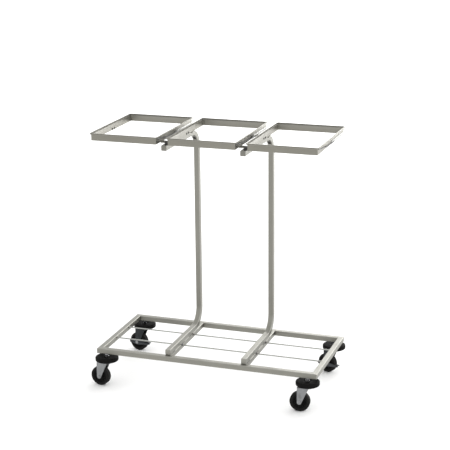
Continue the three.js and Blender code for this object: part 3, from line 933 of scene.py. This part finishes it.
def axleShape(brake):
    far = bolt["outer"] + bolt["gap"]
    near = far + (lever["plate"] + bolt["gap"] if brake else 0)
    shank = [(0, -far), (bolt["radius"], -far), (bolt["radius"], near), (0, near)]
    parts = [turned(shank, bolt["sides"], "y")]
    washer = (
        (0, 0), (bolt["washer"], 0), (bolt["washer"], bolt["washerSide"]),
        (bolt["washerTop"], bolt["washerHeight"]), (0, bolt["washerHeight"]),
    )
    for start, way in ((near, 1), (-far, -1)):
        parts.append(turned([(r, start + way * h) for r, h in washer], bolt["washerSides"], "y"))
        low, high = sorted((start + way * bolt["washerHeight"], start + way * bolt["headHeight"]))
        parts.append(slab(circle(bolt["head"], 6), low, high, bolt["headEase"], side=zWay, up=xWay))
    return onAxle(joined(*parts))


pin = dict(
    stem=((0, 90.9), (5.5, 90.9), (8, 92.4), (8, 93.2), (5, 93.2), (5, 146), (0, 146)),
    collar=((5, 119.3), (8, 119.3), (8, 120.6), (7.4, 121), (5, 121)),
    nut=8, nutInset=0.1, nutLow=122.4, nutHigh=129.6, nutEase=0.7,
)


def pinShape():
    nut = inset(circle(pin["nut"], 6), pin["nutInset"])
    top = slab(nut, pin["nutLow"], pin["nutHigh"], pin["nutEase"])
    stem = turned(pin["stem"], castorSides["stem"])
    return joined(stem, turned(pin["collar"], castorSides["collar"]), top)


cup = softened([(5.4, 93.4, 0), (17, 93.4, 1), (17, 97.4, 1.6), (14.5, 99.3, 0.8), (5.4, 99.3, 0)], 4, 0.4)


def cupShape():
    return turned([tuple(point) for point in cup], castorSides["raceway"])


lever = dict(
    plate=2, bladeEdge=0.5, pedal=15, pedalRear=-43, pedalWidth=17, pedalCorner=3, pedalGap=0.2, rise=1,
    blade=((33, -3, 2.5), (33, 4, 3), (0, 8, 12), (-58, 3, 1.4), (-58, -1, 1.4), (0, -9, 12)),
    pedalRoot=0.6, ridges=3, ridgeStart=3.5, ridgePitch=4, ridgeHalf=0.7, ridgeInset=3, ridgeHeight=0.5,
    ridgeSoft=0.5, ridgeSink=0.2, ridgeEdge=0.3,
)


def leverShape():
    t, z = wheel["trail"], wheel["axleZ"]
    outer = bolt["outer"] + bolt["gap"] + lever["plate"]
    outline = softened([(t + x, z + rise, radius) for x, rise, radius in lever["blade"]], 4, 0.6)
    blade = [Vector((point.y, point.x)) for point in outline]
    parts = [slab(blade, outer - lever["plate"], outer, lever["bladeEdge"], side=zWay, up=xWay)]
    end, inner = t + lever["pedalRear"], outer - lever["pedalWidth"]
    root = outer - lever["pedalGap"]
    pedal = rectangle(end - lever["pedal"], inner, end, root, lever["pedalCorner"], lever["pedalRoot"])
    low = z + lever["rise"]
    high = low + lever["plate"]
    parts.append(slab(pedal, low, high, lever["bladeEdge"]))
    for k in range(lever["ridges"]):
        x, half = end - lever["ridgeStart"] - lever["ridgePitch"] * k, lever["ridgeHalf"]
        near, far = inner + lever["ridgeInset"], outer - lever["ridgeInset"]
        ridge = rectangle(x - half, near, x + half, far, lever["ridgeSoft"], steps=2, hold=0.2)
        parts.append(slab(ridge, high - lever["ridgeSink"], high + lever["ridgeHeight"], lever["ridgeEdge"]))
    return joined(*parts)


for cornerName in ("front_left", "front_right", "rear_left", "rear_right"):
    stem = Vector(joints[f"{cornerName}_swivel"]["pos_m"])
    axlePoint = Vector(joints[f"{cornerName}_wheel_spin"]["pos_m"])
    heading = math.atan2(axlePoint.y - stem.y, axlePoint.x - stem.x)
    spot = Matrix.Translation((stem.x, stem.y, 0)) @ Matrix.Rotation(heading, 4, "Z")
    node = f"castor_{cornerName}"
    brake = f"{cornerName}_brake" in joints
    swivel, roller = f"swivel_{cornerName}", f"wheel_{cornerName}"
    metal = "rearZinc" if brake else "zinc"
    piece(f"{node}.stem", pinShape(), metal, stands=[f"{node}_pin"], place=spot)
    bumper = turned([tuple(point) for point in bumperProfile], castorSides["disc"])
    piece(f"{node}.disc", bumper, "bumper", stands=[f"{node}_bumper"], place=spot)
    thickened(piece(f"{node}.legs", forkShape(), metal, swivel, stands=[f"{node}_fork"], place=spot))
    piece(f"{node}.raceway", cupShape(), metal, swivel, place=spot)
    piece(f"{node}.bolt", axleShape(brake), "zinc", swivel, stands=[f"{node}_axle"], place=spot)
    piece(f"{node}.centre", hubShape(), "wheel", roller, stands=[f"{node}_hub"], place=spot)
    piece(f"{node}.tyre", tyreShape(), "tyre", roller, stands=[f"{node}_tyre"], place=spot)
    if brake:
        holder = f"brake_{cornerName}"
        piece(f"{node}.lever", leverShape(), "lever", holder, stands=[f"{node}_brake_lever"], place=spot)
print("castors made")


# floor, light and camera

studio = dict(
    floorSize=90, floorZ=-0.0002, floorPale=(0.94, 0.94, 0.935, 1), floorDark=(0.92, 0.92, 0.915, 1),
    world=1.2,
)
softboxes = {
    "backBox": dict(at=(0.4, 6.5, 2.9), aim=(0, 0, 0.4), size=(5.4, 3.0), watts=125),
    "rightBox": dict(at=(4.2, 1.6, 2.2), aim=(0, 0, 0.5), size=(2.4, 2.6), watts=45),
    "lowBox": dict(at=(1.7, 6.3, 0.9), aim=(0, 0, 0.6), size=(4.2, 1.4), watts=100),
}
view = dict(
    place=(1.567, -4.474, 1.981), azimuth=19.09, elevation=16.06, roll=-0.55, focal=1325.3, frame=450,
    sensor=36,
)

floorMesh = bmesh.new()
bmesh.ops.create_grid(floorMesh, x_segments=4, y_segments=4, size=studio["floorSize"] / 2)
floorData = bpy.data.meshes.new("floor")
floorMesh.to_mesh(floorData)
floorMesh.free()
floorData.materials.append(paperFloor(dict(pale=studio["floorPale"], dark=studio["floorDark"])))
floor = bpy.data.objects.new("floor", floorData)
floor.location.z = studio["floorZ"]
scene.collection.objects.link(floor)

for name, box in softboxes.items():
    data = bpy.data.lights.new(name, "AREA")
    data.shape = "RECTANGLE"
    data.size, data.size_y = box["size"]
    data.energy = box["watts"]
    lamp = bpy.data.objects.new(name, data)
    lamp.location = box["at"]
    lamp.rotation_mode = "QUATERNION"
    lamp.rotation_quaternion = (Vector(box["aim"]) - Vector(box["at"])).to_track_quat("-Z", "Y")
    lamp.visible_camera = False
    scene.collection.objects.link(lamp)

world = bpy.data.worlds.new("studio")
world.use_nodes = True
background = world.node_tree.nodes["Background"]
background.inputs["Color"].default_value = (1, 1, 1, 1)
background.inputs["Strength"].default_value = studio["world"]
scene.world = world
scene.view_settings.view_transform = "Standard"

azimuth, elevation, roll = (math.radians(view[key]) for key in ("azimuth", "elevation", "roll"))
outward = math.cos(elevation)
back = Vector((math.sin(azimuth) * outward, -math.cos(azimuth) * outward, math.sin(elevation)))
levelRight = Vector((math.cos(azimuth), math.sin(azimuth), 0))
levelUp = back.cross(levelRight)
cameraRight = levelRight * math.cos(roll) + levelUp * math.sin(roll)
cameraUp = levelUp * math.cos(roll) - levelRight * math.sin(roll)
cameraData = bpy.data.cameras.new("camera")
cameraData.sensor_width = view["sensor"]
cameraData.lens = view["focal"] / view["frame"] * view["sensor"]
camera = bpy.data.objects.new("camera", cameraData)
facing = Matrix((cameraRight, cameraUp, back)).transposed().to_4x4()
camera.matrix_world = middle @ Matrix.Translation(view["place"]) @ facing
scene.collection.objects.link(camera)
scene.camera = camera
print("studio made")
